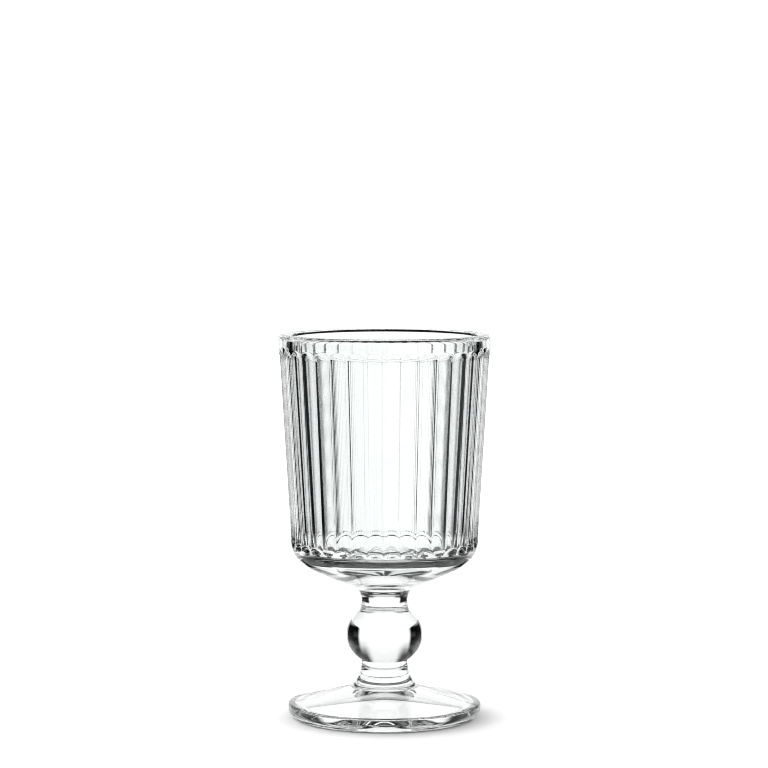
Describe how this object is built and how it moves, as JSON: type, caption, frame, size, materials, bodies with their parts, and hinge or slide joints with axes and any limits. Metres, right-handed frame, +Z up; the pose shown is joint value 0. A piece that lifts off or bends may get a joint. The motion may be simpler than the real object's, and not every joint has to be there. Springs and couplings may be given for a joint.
{
  "type": "cordial glass",
  "caption": "Small clear pressed cordial glass: fluted bowl with a plain rim, a ball stem between two necks, and a round conical foot to stand on.",
  "frame": {"origin": "middle of the ring under the foot, on the surface that the glass stands on", "axes": "+Z up along the stem to the mouth, -Y to the front of the picture, +X to its right"},
  "size_m": [0.0554, 0.0554, 0.1],
  "materials": {
    "clear_glass": "clear, fire polished, glossy"
  },
  "bodies": {
    "root": {"bowl": "clear_glass", "stem": "clear_glass", "foot": "clear_glass"}
  },
  "joints": []
}
